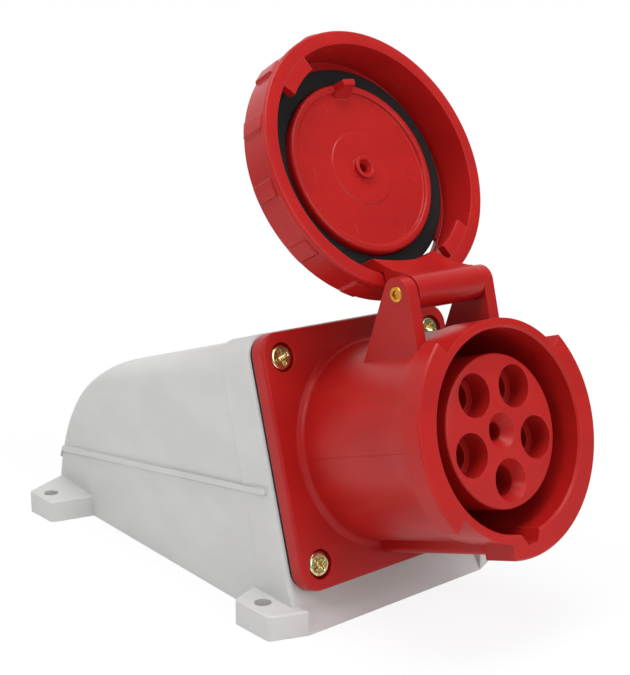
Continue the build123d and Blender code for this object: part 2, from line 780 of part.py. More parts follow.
# Lid disc: dished, with a raised rim, a step, a centre boss and the key tongue
field_face = disc_rim_face + disc_field_depth
step_face = field_face - disc_step_height
boss_face = disc_rim_face - disc_boss_proud
tongue_face = disc_rim_face - tongue_proud
with BuildPart() as lid_disc:
    with BuildSketch(LID_SECTION):
        with BuildLine():
            Polyline(
                (cap_face, disc_hole_radius),
                (cap_face, disc_radius),
                (disc_rim_face + disc_edge_round, disc_radius),
                (disc_rim_face, disc_radius - disc_edge_round),
                (disc_rim_face, disc_rim_inner),
                (field_face, disc_rim_inner - 0.5),
                (field_face, disc_step_radius),
                (step_face, disc_step_radius - 0.4),
                (step_face, disc_boss_radius),
                (boss_face, disc_boss_radius),
                (boss_face, disc_hole_mouth),
                (boss_face + disc_hole_cone, disc_hole_radius),
                close=True,
            )
        make_face()
    revolve(axis=lid_axis)
    with BuildPart(mode=Mode.PRIVATE) as tongue:
        with BuildSketch(LID_SECTION):
            with BuildLine():
                Polyline(
                    (field_face + 0.5, -tongue_gusset),
                    (tongue_face, -tongue_inner),
                    (tongue_face, -tongue_reach),
                    (disc_rim_face + disc_edge_round, -tongue_reach),
                    (field_face + 0.5, -tongue_reach),
                    close=True,
                )
            make_face()
        extrude(amount=tongue_root_half, both=True)
        with BuildSketch(Plane(origin=LID.origin, x_dir=(1, 0, 0), z_dir=-LID.y_dir)):
            with BuildLine():
                Polyline(
                    (-tongue_root_half, disc_rim_face),
                    (-tongue_tip_half, tongue_face),
                    (tongue_tip_half, tongue_face),
                    (tongue_root_half, disc_rim_face),
                    (tongue_root_half, cap_face),
                    (-tongue_root_half, cap_face),
                    close=True,
                )
            make_face()
        extrude(amount=disc_radius + 5, mode=Mode.INTERSECT)
    add(tongue.part)
lid_disc.part.label = "lid_disc"
export_step(lid_disc.part, "parts/lid_disc.step")

# Lid screw, from the hub's outside into the disc's boss
with BuildPart() as lid_screw:
    with BuildSketch(LID.offset(hub_top)):
        Circle(lid_screw_head_radius)
    extrude(amount=lid_screw_head_height)
    fillet(faces().sort_by(lid_axis)[-1].edges(), 0.9)
    with BuildSketch(LID.offset(boss_face + lid_screw_tip_setback)):
        Circle(lid_screw_radius)
    extrude(amount=hub_top - boss_face - lid_screw_tip_setback)
lid_screw.part.label = "lid_screw"
export_step(lid_screw.part, "parts/lid_screw.step")

# Locking ring: grip wall, back flange round the hub, and two bayonet tabs at the lip
ring_back = ring_flange_face + ring_flange_thickness
with BuildPart() as locking_ring:
    with BuildSketch(LID_SECTION):
        with BuildLine():
            Polyline(
                (ring_lip_face, ring_inner_radius),
                (ring_lip_face, ring_lip_radius),
                (ring_lip_face + ring_lip_depth, ring_lip_radius),
                (ring_lip_face + ring_lip_depth, ring_recess_radius),
                (ring_chamfer_start, ring_recess_radius),
                (ring_back, ring_back_radius),
                (ring_back, ring_flange_inner),
                (ring_flange_face, ring_flange_inner),
                (ring_flange_face, ring_inner_radius),
                close=True,
            )
        make_face()
    revolve(axis=lid_axis)
    with BuildSketch(LID.offset(ring_lip_face + ring_lip_depth)):
        for grip in range(ring_grip_count):
            middle = ring_grip_first + grip * 360 / ring_grip_count
            half = ring_grip_width / 2
            add(sector(ring_recess_radius - 1, ring_grip_radius, middle - half, middle + half))
    extrude(amount=ring_grip_end - ring_lip_face - ring_lip_depth)
    with BuildSketch(LID.offset(ring_lip_face)):
        for start in tab_starts:
            add(sector(tab_inner_radius, ring_inner_radius + 1, start, start + tab_sweep))
    extrude(amount=tab_thickness)
    with BuildSketch(LID.offset(ring_flange_face)):
        for start in tab_starts:
            add(sector(window_inner, window_outer, start - 0.5, start + tab_sweep + 0.5))
    extrude(amount=ring_flange_thickness, mode=Mode.SUBTRACT)
locking_ring.part.label = "locking_ring"
export_step(locking_ring.part, "parts/locking_ring.step")

# Cable entry: seal ring inside the spigot, compression nut round it
entry_end = base_front + front_overhang + entry_reach
nut_start = base_front + front_overhang + nut_front
with BuildPart() as gland_seal:
    with BuildSketch(Plane.XZ.offset(-entry_end)):
        with Locations((0, entry_height)):
            Circle(entry_bore_radius - seal_clearance)
            Circle(seal_inner_radius, mode=Mode.SUBTRACT)
    extrude(amount=seal_length)
gland_seal.part.label = "gland_seal"
export_step(gland_seal.part, "parts/gland_seal.step")

with BuildPart() as gland_nut:
    with BuildSketch(Plane.XZ.offset(-(nut_start + nut_length))):
        with Locations((0, entry_height)):
            Circle(nut_radius - 0.8)
            with PolarLocations(nut_radius - 1.6, nut_rib_count):
                Circle(1.6)
    extrude(amount=nut_length)
    with BuildSketch(Plane.XZ.offset(-(nut_start + nut_length))):
        with Locations((0, entry_height)):
            Circle(nut_mouth_radius)
    extrude(amount=nut_length, mode=Mode.SUBTRACT)
    with BuildSketch(Plane.XZ.offset(-entry_end)):
        with Locations((0, entry_height)):
            Circle(entry_thread_radius + nut_thread_clearance)
    extrude(amount=entry_end - nut_start, mode=Mode.SUBTRACT)
gland_nut.part.label = "gland_nut"
export_step(gland_nut.part, "parts/gland_nut.step")
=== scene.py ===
# %% [markdown]
# # A five-pole wall socket with an open bayonet lid
# The solids come from CAD and are loaded here as a fixed frame. Everything below gives them the look of the
# real product: glossy red mouldings, a light grey box, black rubber, and plated and turned metal. Lengths in
# the code are millimetres, because that is how such a part is measured; one factor turns them to metres.

# %% Load the frame
import json
import math

import bmesh
import bpy
import numpy as np
from mathutils import Matrix, Vector


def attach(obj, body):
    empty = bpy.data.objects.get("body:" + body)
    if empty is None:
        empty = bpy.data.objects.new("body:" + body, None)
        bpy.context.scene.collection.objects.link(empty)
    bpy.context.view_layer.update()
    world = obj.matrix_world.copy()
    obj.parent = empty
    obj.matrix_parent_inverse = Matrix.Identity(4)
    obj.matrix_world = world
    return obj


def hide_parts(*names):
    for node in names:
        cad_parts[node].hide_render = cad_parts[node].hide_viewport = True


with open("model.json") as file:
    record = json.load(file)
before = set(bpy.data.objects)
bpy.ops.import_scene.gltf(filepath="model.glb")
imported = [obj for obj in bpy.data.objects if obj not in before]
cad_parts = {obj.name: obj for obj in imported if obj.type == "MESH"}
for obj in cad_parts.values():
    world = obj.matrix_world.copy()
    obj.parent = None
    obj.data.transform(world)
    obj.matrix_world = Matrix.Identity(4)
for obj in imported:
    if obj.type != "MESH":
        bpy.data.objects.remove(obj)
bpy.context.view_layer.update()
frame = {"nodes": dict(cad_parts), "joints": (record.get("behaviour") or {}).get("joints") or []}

mm = 0.001

# %% [markdown]
# ## Two drawing frames
# The barrel leans back from the wall by 16.2 degrees, and the lid has been swung open about the hinge. Both
# are turned shapes, so each gets a frame of its own: x across, y up its face, z out along its axis. A 4x4
# matrix holds it, and a piece drawn round the z axis is then carried to its place by one product.

# %% Frames of the barrel and of the open lid
def turned(vector, degrees):
    """The vector turned about the x axis: y' = y cos - z sin, z' = y sin + z cos."""
    c, s = math.cos(math.radians(degrees)), math.sin(math.radians(degrees))
    x, y, z = vector
    return np.array([x, y * c - z * s, y * s + z * c])


def drawing_frame(origin, out):
    """4x4 matrix with columns x, y = z cross x, z = out and the origin."""
    m = np.eye(4)
    m[:3, 0] = (1, 0, 0)
    m[:3, 1] = np.cross(out, (1, 0, 0))
    m[:3, 2] = out
    m[:3, 3] = origin
    return m


barrel_out = turned((0, 0, 1), 90 - 16.2)
barrel = drawing_frame((0, -82.5, 62.2), barrel_out)
lid_hinge = frame["joints"][0]
hinge_point = np.array(lid_hinge["pos_m"]) / mm
lid_drop = 0.35
lid_swing = -188.93
closed_lid = barrel[:3, 3] - lid_drop * barrel[:3, 1]
lid = drawing_frame(hinge_point + turned(closed_lid - hinge_point, lid_swing), turned(barrel_out, lid_swing))
print("barrel axis", barrel_out.round(4), "lid axis", lid[:3, 2].round(4))

# %% [markdown]
# ## The camera
# The socket is seen from its front left corner, about 41 degrees round and 12 degrees up, from 0.6 m. The
# lens is worked out from the focal length in pixels, and a small shift puts the picture's middle where the
# lens axis meets it.

# %% Camera
eye = Vector((-0.32341, -0.41888, 0.20721))
right = Vector((0.7548, -0.6560, 0.0026)).normalized()
back = Vector((-0.6426, -0.7386, 0.2036)).normalized()
up = back.cross(right).normalized()
right = up.cross(back)
camera_data = bpy.data.cameras.new("camera")
camera_data.sensor_width = 36
camera_data.lens = 1254.48 * 36 / 675
camera_data.shift_x = -0.00606
camera_data.shift_y = -0.02868
camera_data.clip_start = 0.01
camera = bpy.data.objects.new("camera", camera_data)
axes = Matrix((right, up, back)).transposed().to_4x4()
camera.matrix_world = Matrix.Translation(eye) @ axes
bpy.context.scene.collection.objects.link(camera)
bpy.context.scene.camera = camera
bpy.context.scene.view_settings.view_transform = "Standard"

# %% [markdown]
# ## Helpers for materials
# Colours are written as the hex values that a paint chart gives, and one function turns them to the linear
# values that a shader needs. A second one adds a node with its settings and its inputs, where an input is
# either a number, a colour, or the output of another node.

# %% Colours and nodes
def linear(code):
    """sRGB hex to linear: c/12.92 below 0.04045, otherwise ((c + 0.055) / 1.055) ** 2.4."""
    parts = [int(code[i:i + 2], 16) / 255 for i in (1, 3, 5)]
    return tuple(c / 12.92 if c <= 0.04045 else ((c + 0.055) / 1.055) ** 2.4 for c in parts) + (1.0,)


def put(tree, kind, settings=None, **inputs):
    """Adds a node, sets its properties and fills or links its inputs; an underscore stands for a space."""
    node = tree.nodes.new(kind)
    for name, value in (settings or {}).items():
        setattr(node, name, value)
    for name, value in inputs.items():
        socket = node.inputs[int(name[1:])] if name[1:].isdigit() else node.inputs[name.replace("_", " ")]
        if isinstance(value, bpy.types.NodeSocket):
            tree.links.new(value, socket)
        else:
            socket.default_value = value
    return node


def ramp(tree, factor, stops, smooth="LINEAR"):
    """Colour ramp through (position, colour) stops."""
    node = put(tree, "ShaderNodeValToRGB", Fac=factor)
    node.color_ramp.interpolation = smooth
    elements = node.color_ramp.elements
    while len(elements) < len(stops):
        elements.new(0.5)
    for element, (place, colour) in zip(elements, stops):
        element.position = place
        element.color = colour
    return node.outputs["Color"]


def blank(name):
    """A material with an empty tree and its output node."""
    material = bpy.data.materials.new(name)
    material.use_nodes = True
    tree = material.node_tree
    tree.nodes.clear()
    return material, tree, tree.nodes.new("ShaderNodeOutputMaterial")


# %% [markdown]
# ## Moulded plastic
# The red pieces are injection moulded polyamide and the grey box is a moulded polyester blend. Both leave a
# polished steel mould, so they are smooth with a soft gloss. What the eye reads as plastic is the very fine
# orange peel, slight changes of gloss where the melt flowed, small radii that catch the light on every edge,
# and a few specks from handling. The radii come from a Bevel node; where its normal leaves the true one there
# is an edge, and the same node finds these edges, which get a lighter colour as a painted highlight. Noise
# with sizes in millimetres gives the rest.

# %% Moulded plastic
def moulded_plastic(name, colour, shade, edge_highlight, rough, edge=0.35, peel=1.6, depth=0.02, flow=34.0):
    """Plastic: colour to shade over flow marks, painted highlight on edges, roughness rough, peel bump of peel
    mm.
    """
    material, tree, out = blank(name)
    place = put(tree, "ShaderNodeTexCoord").outputs["Object"]
    stretched = put(tree, "ShaderNodeMapping", Vector=place, Scale=(1, 1, 2.2)).outputs["Vector"]
    marks = put(tree, "ShaderNodeTexNoise", Vector=stretched, Scale=1 / (flow * mm), Detail=2.0)
    fine = put(tree, "ShaderNodeTexNoise", Vector=place, Scale=1 / (peel * mm), Detail=2.0)
    grit = put(tree, "ShaderNodeTexNoise", Vector=place, Scale=1 / (0.35 * mm), Detail=1.0)
    dust = put(tree, "ShaderNodeTexVoronoi", Vector=place, Scale=1 / (4.5 * mm), Randomness=1.0)
    rounded = put(tree, "ShaderNodeBevel", {"samples": 6}, Radius=edge * mm).outputs["Normal"]
    true = put(tree, "ShaderNodeNewGeometry").outputs["Normal"]
    agree = put(tree, "ShaderNodeVectorMath", {"operation": "DOT_PRODUCT"}, _0=rounded,
                _1=true).outputs["Value"]
    # Edges get a lighter colour here: a painted highlight along every edge.
    edge_highlight_mask = put(tree, "ShaderNodeMapRange", Value=agree, From_Min=0.995, From_Max=0.8, To_Min=0.0, To_Max=0.55)
    base = ramp(tree, marks.outputs["Fac"], [(0.35, linear(colour)), (0.65, linear(shade))], "EASE")
    edge_highlighted = put(tree, "ShaderNodeMix", {"data_type": "RGBA"}, _0=edge_highlight_mask.outputs["Result"], _6=base,
                _7=linear(edge_highlight)).outputs[2]
    speck = put(tree, "ShaderNodeMapRange", Value=dust.outputs["Distance"], From_Min=0.028, From_Max=0.02,
                To_Min=0.0, To_Max=0.3)
    spotted = put(tree, "ShaderNodeMix", {"data_type": "RGBA"}, _0=speck.outputs["Result"], _6=edge_highlighted,
                  _7=linear("#4a3a38")).outputs[2]
    gloss = put(tree, "ShaderNodeMapRange", Value=marks.outputs["Fac"], From_Min=0.3, From_Max=0.7,
                To_Min=rough - 0.02, To_Max=rough + 0.04).outputs["Result"]
    peeled = put(tree, "ShaderNodeBump", Strength=0.35, Distance=depth * mm,
                 Height=fine.outputs["Fac"], Normal=rounded).outputs["Normal"]
    surface = put(tree, "ShaderNodeBump", Strength=0.3, Distance=depth * 0.5 * mm,
                  Height=grit.outputs["Fac"], Normal=peeled).outputs["Normal"]
    shader = put(tree, "ShaderNodeBsdfPrincipled", Base_Color=spotted, Roughness=gloss, IOR=1.53,
                 Normal=surface, Specular_IOR_Level=0.22)
    tree.links.new(shader.outputs["BSDF"], out.inputs["Surface"])
    return material


# The third colour of each plastic is its painted edge highlight.
red_polyamide = moulded_plastic("red_moulded_polyamide", "#ad1b18", "#a61715", "#cf4c46", 0.33)
red_lid_polyamide = moulded_plastic("red_moulded_lid_polyamide", "#ac1b19", "#a51716", "#d25f58", 0.28)
red_insert_polyamide = moulded_plastic("red_moulded_insert_polyamide", "#b01e1b", "#a91a18", "#cf4c46", 0.36)
grey_polyester = moulded_plastic("light_grey_moulded_polyester", "#cbcbca", "#c7c7c6", "#d8d8d7", 0.46,
                                 edge=0.5, peel=1.1)
grey_nut_plastic = moulded_plastic("grey_moulded_gland_plastic", "#b9bab9", "#b4b5b4", "#c4c4c3", 0.45)

# %% [markdown]
# ## Rubber
# The gaskets are cut from black EPDM sheet. It is matt with a fine cellular grain, and it is never quite
# black: dust and the skin's pores lift it to a very dark warm grey. Rubber reflects less than plastic,
# because its pores swallow the light at a glance, so its specular level is low.

# %% Rubber
def black_rubber(name, pore=0.7, depth=0.06, colour="#141214", shade="#232022"):
    """Rubber: dark colour mottled by a pore-sized noise, rough, with a shallow grain."""
    material, tree, out = blank(name)
    place = put(tree, "ShaderNodeTexCoord").outputs["Object"]
    pores = put(tree, "ShaderNodeTexNoise", Vector=place, Scale=1 / (pore * mm), Detail=4.0, Roughness=0.7)
    dust = put(tree, "ShaderNodeTexNoise", Vector=place, Scale=1 / (9 * mm), Detail=2.0)
    speck = ramp(tree, pores.outputs["Fac"], [(0.35, linear(colour)), (0.75, linear(shade))])
    base = put(tree, "ShaderNodeMix", {"data_type": "RGBA"}, _0=dust.outputs["Fac"], _6=speck,
               _7=linear(colour)).outputs[2]
    surface = put(tree, "ShaderNodeBump", Strength=0.8, Distance=depth * mm,
                  Height=pores.outputs["Fac"]).outputs["Normal"]
    shader = put(tree, "ShaderNodeBsdfPrincipled", Base_Color=base, Roughness=0.72, IOR=1.5,
                 Specular_IOR_Level=0.25, Normal=surface)
    tree.links.new(shader.outputs["BSDF"], out.inputs["Surface"])
    return material


sheet_rubber = black_rubber("black_epdm_sheet")
lid_rubber = black_rubber("black_epdm_lid_gasket", pore=0.9, depth=0.1)
seal_rubber = black_rubber("black_nitrile_seal", pore=0.4, depth=0.03)

# %% [markdown]
# ## Metals
# The flange screws are steel with a yellow zinc passivation. The passivated layer is a thin film, so it
# drifts between straw, green and pink over a few millimetres. The pin and contacts are turned brass, whose
# skin dulls to a deeper gold; the contacts' brass is darker still, as painted shade for their place deep in
# the mouths. The screws inside are bright zinc.

# %% Metals
def plated_metal(name, stops, rough, patch=2.4, grain=0.25, depth=0.01):
    """Metal: colour from patches of a soft noise through the stops, fine grain in gloss and height."""
    material, tree, out = blank(name)
    place = put(tree, "ShaderNodeTexCoord").outputs["Object"]
    patches = put(tree, "ShaderNodeTexNoise", Vector=place, Scale=1 / (patch * mm), Detail=3.0,
                  Distortion=0.6)
    fine = put(tree, "ShaderNodeTexNoise", Vector=place, Scale=1 / (grain * mm), Detail=3.0)
    base = ramp(tree, patches.outputs["Fac"], [(p, linear(c)) for p, c in stops], "EASE")
    gloss = put(tree, "ShaderNodeMapRange", Value=fine.outputs["Fac"], To_Min=rough - 0.06,
                To_Max=rough + 0.08).outputs["Result"]
    rounded = put(tree, "ShaderNodeBevel", {"samples": 4}, Radius=0.12 * mm).outputs["Normal"]
    surface = put(tree, "ShaderNodeBump", Strength=0.5, Distance=depth * mm, Height=fine.outputs["Fac"],
                  Normal=rounded).outputs["Normal"]
    shader = put(tree, "ShaderNodeBsdfPrincipled", Base_Color=base, Metallic=1.0, Roughness=gloss,
                 Normal=surface)
    tree.links.new(shader.outputs["BSDF"], out.inputs["Surface"])
    return material


yellow_zinc = plated_metal("yellow_passivated_zinc", [(0.25, "#b4ac72"), (0.42, "#e2d79c"), (0.55, "#f0e8bc"),
                                                      (0.68, "#d2ac66"), (0.8, "#bd8a6a")], 0.2)
bright_zinc = plated_metal("bright_zinc_plate", [(0.3, "#b9bcc0"), (0.7, "#d2d4d6")], 0.28)
# The contacts' brass is darker partly for its dulled skin and partly as painted shade for the deep mouths.
contact_brass_painted_shade = plated_metal("dulled_brass_with_painted_shade", [(0.3, "#8a6a34"), (0.7, "#9c7a40")], 0.4)
pin_brass = plated_metal("tumbled_brass_pin", [(0.3, "#c2862c"), (0.7, "#dba548")], 0.3)

# %% [markdown]
# ## Smooth copies of the CAD solids
# The loaded solids are loose triangles, which shade as flat facets. For the large mouldings a copy is made,
# its doubled corners are merged, and edges sharper than the crease angle are marked, so that everything
# flatter shades as one curved surface. The copy stands for the solid; the solid itself stays untouched.

# %% Merge, crease and place
def finish_piece(piece, body, material, node=None):
    """Puts a piece in the scene with its one material, on the body that carries it, in place of its solid."""
    bpy.context.scene.collection.objects.link(piece)
    piece.data.materials.clear()
    piece.data.materials.append(material)
    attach(piece, body)
    if node:
        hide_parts(node)
    print(piece.name, len(piece.data.polygons), "faces")
    return piece


def shade(mesh, crease):
    """Smooth shading everywhere but on edges sharper than the crease angle."""
    mesh.polygons.foreach_set("use_smooth", np.ones(len(mesh.polygons), bool))
    mesh.set_sharp_from_angle(angle=math.radians(crease))


copy_crease = 20.0


def smooth_copy(node, name):
    """Copy of a CAD solid with corners within 1 micron merged."""
    mesh = frame["nodes"][node].data.copy()
    mesh.name = name
    work = bmesh.new()
    work.from_mesh(mesh)
    bmesh.ops.remove_doubles(work, verts=work.verts, dist=0.001 * mm)
    work.to_mesh(mesh)
    work.free()
    if "custom_normal" in mesh.attributes:
        mesh.attributes.remove(mesh.attributes["custom_normal"])
    shade(mesh, copy_crease)
    return bpy.data.objects.new(name, mesh)


copied = [
    ("back_box", "box_shell", "socket", "grey_plastic", grey_polyester),
    ("flange_gasket", "flange_sheet_gasket", "socket", "black_rubber", sheet_rubber),
    ("socket_housing", "housing_shell", "socket", "red_plastic", red_polyamide),
    ("contact_insert", "insert_block", "socket", "red_insert", red_insert_polyamide),
    ("contact_l1", "sleeve_l1", "socket", "brass", contact_brass_painted_shade),
    ("contact_l2", "sleeve_l2", "socket", "brass", contact_brass_painted_shade),
    ("contact_l3", "sleeve_l3", "socket", "brass", contact_brass_painted_shade),
    ("contact_neutral", "sleeve_neutral", "socket", "brass", contact_brass_painted_shade),
    ("contact_earth", "sleeve_earth", "socket", "brass", contact_brass_painted_shade),
    ("contact_pilot", "sleeve_pilot", "socket", "brass", contact_brass_painted_shade),
    ("terminal_screws", "clamp_screws", "socket", "zinc_steel", bright_zinc),
    ("gland_seal", "gland_ring_seal", "socket", "seal_rubber", seal_rubber),
    ("lid_cap", "cap_and_arm", "lid", "red_lid", red_lid_polyamide),
]
for node, name, body, slot, material in copied:
    finish_piece(smooth_copy(node, name), body, material, node)

# %% [markdown]
# ## Surfaces of two parameters
# The round pieces are drawn anew. Each is a grid of points: rows run along a profile or a path, columns
# round it, and numpy works out the whole grid at once. Neighbouring points make four-sided faces, rows that
# close on themselves are joined, and poles are merged to one point. Drawing them this way gives what a plain
# solid lacks: rounded rims, flanks that run out softly, and marks a tenth of a millimetre deep.

# %% Profiles
def ease(t):
    """Smooth step: 0 below 0, 1 above 1, 3 t^2 - 2 t^3 between."""
    t = np.clip(t, 0, 1)
    return t * t * (3 - 2 * t)


def rounded(corners, radii, steps=6):
    """Closed profile whose corners become arcs tangent to both sides; a radius of 0 keeps a corner."""
    corners = np.array(corners, float)
    run = []
    for before, corner, after, radius in zip(np.roll(corners, 1, 0), corners, np.roll(corners, -1, 0), radii):
        if radius == 0:
            run.append(corner[None])
            continue
        a, b = before - corner, after - corner
        a, b = a / np.linalg.norm(a), b / np.linalg.norm(b)
        half = math.acos(float(a @ b)) / 2
        centre = corner + (a + b) / np.linalg.norm(a + b) * radius / math.sin(half)
        first = corner + a * radius / math.tan(half) - centre
        last = corner + b * radius / math.tan(half) - centre
        sweep = math.pi - 2 * half
        t = np.linspace(0, 1, steps + 1)[:, None]
        run.append(centre + (np.sin((1 - t) * sweep) * first + np.sin(t * sweep) * last) / math.sin(sweep))
    return np.vstack(run)


def finer(profile, step):
    """The same open profile with extra points, no further apart than step."""
    run = np.concatenate([[0], np.cumsum(np.linalg.norm(np.diff(profile, axis=0), axis=1))])
    marks = np.unique(np.concatenate([run, np.arange(0, run[-1], step)]).round(4))
    return np.stack([np.interp(marks, run, profile[:, k]) for k in (0, 1)], 1)


# %% Grids and pieces
def revolved(profile, angles):
    """Profile of (radius, height) turned through the angles: x = r cos a, y = r sin a, z = height."""
    r, height = profile[:, 0], profile[:, 1]
    x, y = np.cos(angles)[:, None] * r, np.sin(angles)[:, None] * r
    return np.stack([x, y, np.broadcast_to(height, x.shape)], -1)


def grid_faces(points, round_rows=True, round_columns=False):
    """Points of a grid and its quads; round_rows joins last row to first, round_columns last column."""
    rows, columns = points.shape[:2]
    index = np.arange(rows * columns).reshape(rows, columns)
    index = np.vstack([index, index[:1]]) if round_rows else index
    index = np.hstack([index, index[:, :1]]) if round_columns else index
    quads = np.stack([index[:-1, :-1], index[1:, :-1], index[1:, 1:], index[:-1, 1:]], -1)
    return points.reshape(-1, 3), quads.reshape(-1, 4)


def moved(surface, matrix):
    """A surface carried by a 4x4 matrix."""
    points, quads = surface
    return points @ matrix[:3, :3].T + matrix[:3, 3], quads


def drawn_piece(name, place, surfaces, crease=30.0):
    """One object from (points, quads) surfaces, carried from millimetres in the frame place to metres."""
    starts = np.cumsum([0] + [len(points) for points, _ in surfaces])
    points = np.vstack([points for points, _ in surfaces]) @ place[:3, :3].T + place[:3, 3]
    quads = np.vstack([quads + start for (_, quads), start in zip(surfaces, starts)])
    mesh = bpy.data.meshes.new(name)
    mesh.from_pydata((points * mm).tolist(), [], quads.tolist())
    work = bmesh.new()
    work.from_mesh(mesh)
    bmesh.ops.remove_doubles(work, verts=work.verts, dist=0.002 * mm)
    bmesh.ops.recalc_face_normals(work, faces=work.faces)
    work.to_mesh(mesh)
    work.free()
    shade(mesh, crease)
    return bpy.data.objects.new(name, mesh)


def full_turn(count):
    """Equal angles round one turn."""
    return np.linspace(0, 2 * np.pi, count, endpoint=False)


# %% [markdown]
# ## The box's rear end
# Seen from the side the box's roof runs into a dome and then into the rear face. On the real box the rim
# between this outline and the flat sides gets tighter towards the back, and the dome is a little fuller than
# the solid's. The shape could be drawn anew, but it is quicker and safer to move the copy's corners. Each has
# a depth u below the side and a depth v below the outline: the rim is drawn tighter in u and v, the dome
# moves out along v, and what lies deep inside stays. The roof behind the collar also sinks a millimetre, so
# that the collar stands above it.

# %% The box's outline from the side
roof_at, roof_slope = np.array([-62.0, 104.1]), math.radians(14.1)
rear_at, rear_lean = np.array([97.5, 0.0]), math.radians(10.0)
side_half, side_from, side_taper = 49.8, -95.5, math.atan(0.05)
cad_dome, cad_rim = 97.0, 10.0
roof_along = np.array([math.cos(roof_slope), -math.sin(roof_slope)])
rear_along = np.array([-math.sin(rear_lean), math.cos(rear_lean)])
roof_out = np.array([-roof_along[1], roof_along[0]])
rear_out = np.array([rear_along[1], -rear_along[0]])
dome_start = math.degrees(math.atan2(*roof_out))
dome_span = math.degrees(math.atan2(*rear_out)) - dome_start
print("the dome turns", round(dome_span, 1), "degrees from roof to rear")


def dome_centre(radius):
    """Centre of the circle tangent to roof and rear: corner + inward * radius / sin(half angle)."""
    reach = np.linalg.solve(np.stack([roof_along, -rear_along], 1), rear_at - roof_at)[0]
    inward = -(roof_along + rear_along) / np.linalg.norm(roof_along + rear_along)
    half = math.acos(float(-roof_along @ inward))
    return roof_at + roof_along * reach + inward * radius / math.sin(half)


def box_depths(points):
    """Per corner: degrees round the dome, the ray from its centre, the outward way, and the depths u and v."""
    from_centre = points[:, 1:] - dome_centre(cad_dome)
    distance = np.linalg.norm(from_centre, axis=1)
    ray = from_centre / distance[:, None]
    angle = np.degrees(np.arctan2(ray[:, 0], ray[:, 1])) - dome_start
    on_dome, on_roof = (angle > 0) & (angle < dome_span), angle <= 0
    below_roof, below_rear = (roof_at - points[:, 1:]) @ roof_out, (rear_at - points[:, 1:]) @ rear_out
    v = np.where(on_dome, cad_dome - distance, np.where(on_roof, below_roof, below_rear))
    outward = np.where(on_dome[:, None], ray, np.where(on_roof[:, None], roof_out, rear_out))
    u = ((side_half - np.abs(points[:, 0])) * math.cos(side_taper)
         - (points[:, 1] - side_from) * math.sin(side_taper))
    return angle, ray, outward, u, v


# %% Moves of the box's corners
rim_over, rim_slack = 35.0, 1.5
dome_skin, dome_slack = 14.0, 1.6
roof_skin, roof_slack, roof_over, roof_low = 12.0, 0.3, 50.0, 40.0
collar_rear, roof_from = -25.8, -45.0


def rim_moves(points, rim):
    """Rim radius 10 - (10 - rim) ease(angle / 35): a corner slides towards the new arc along its own ray."""
    angle, _, outward, u, v = box_depths(points)
    radius = cad_rim - (cad_rim - rim) * ease(angle / rim_over)
    arm = np.hypot(cad_rim - u, cad_rim - v)
    share = np.maximum(arm - cad_rim + radius, 0.05) / np.maximum(arm, 1e-6)
    near = (angle > 0) & (np.maximum(u, v) < cad_rim) & (np.minimum(u, v) > -rim_slack)
    moves = np.zeros_like(points)
    moves[:, 0] = np.where(near, np.sign(points[:, 0]) * (u - radius + share * (cad_rim - u)), 0)
    moves[:, 1:] = outward * np.where(near, v - radius + share * (cad_rim - v), 0)[:, None]
    return moves


def dome_moves(points, dome):
    """Along its ray a corner goes to the new arc, or to the roof or rear line beyond the arc's ends."""
    angle, ray, _, _, v = box_depths(points)
    centre, new_centre = dome_centre(cad_dome), dome_centre(dome)
    shift = centre - new_centre
    along = ray @ shift
    to_arc = np.sqrt(np.maximum(along ** 2 - shift @ shift + dome ** 2, 0)) - along
    place = shift + ray * to_arc[:, None]
    new_angle = np.degrees(np.arctan2(place[:, 0], place[:, 1])) - dome_start
    to_roof = ((roof_at - centre) @ roof_out) / (ray @ roof_out)
    to_rear = ((rear_at - centre) @ rear_out) / (ray @ rear_out)
    reach = np.where(new_angle < 0, to_roof, np.where(new_angle > dome_span, to_rear, to_arc))
    near = (angle > 0) & (angle < dome_span) & (v < dome_skin) & (v > -dome_slack)
    moves = np.zeros_like(points)
    moves[:, 1:] = ray * np.where(near, reach - cad_dome, 0)[:, None]
    return moves


def roof_moves(points, sink, tilt):
    """Down by sink + tilt (y + 45) behind the collar, fading out over the first 50 degrees of the dome."""
    angle, _, _, u, v = box_depths(points)
    behind = (points - barrel[:3, 3]) @ barrel[:3, 2] < collar_rear
    upper = behind & (v > -roof_slack) & (v < roof_skin) & (u > -roof_slack) & (points[:, 2] > roof_low)
    moves = np.zeros_like(points)
    down = (sink + tilt * (points[:, 1] - roof_from)) * (1 - ease(angle / roof_over))
    moves[:, 2] = -np.where(upper, down, 0)
    return moves


# %% Reshape the box's copy
box_mesh = bpy.data.objects["box_shell"].data
flat = np.empty(len(box_mesh.vertices) * 3)
box_mesh.vertices.foreach_get("co", flat)
before = flat.reshape(-1, 3) / mm
moves = rim_moves(before, 2.5) + dome_moves(before, 88.0) + roof_moves(before, 0.8, 0.0087)
box_mesh.vertices.foreach_set("co", ((before + moves) * mm).ravel())
shade(box_mesh, copy_crease)
far = np.linalg.norm(moves, axis=1)
print("box corners moved", int((far > 0.01).sum()), "of", len(far), "by up to", round(float(far.max()), 2), "mm")

# %% [markdown]
# ## The lid's gasket
# A flat rubber ring sits round the disc and meets the mouth when the lid is shut. Its edges are soft, and
# the mouth has pressed a shallow track into it. The section is a superellipse, which is almost a rectangle
# with rounded sides, and the track is a dip of a tenth of a millimetre over the mouth's radius.

# %% Lid gasket
gasket_near, gasket_far = 69.4, 71.4
gasket_in, gasket_out = 33.9, 41.0


def signed_power(value, power):
    """|value|^power with the sign of value."""
    return np.sign(value) * np.abs(value) ** power


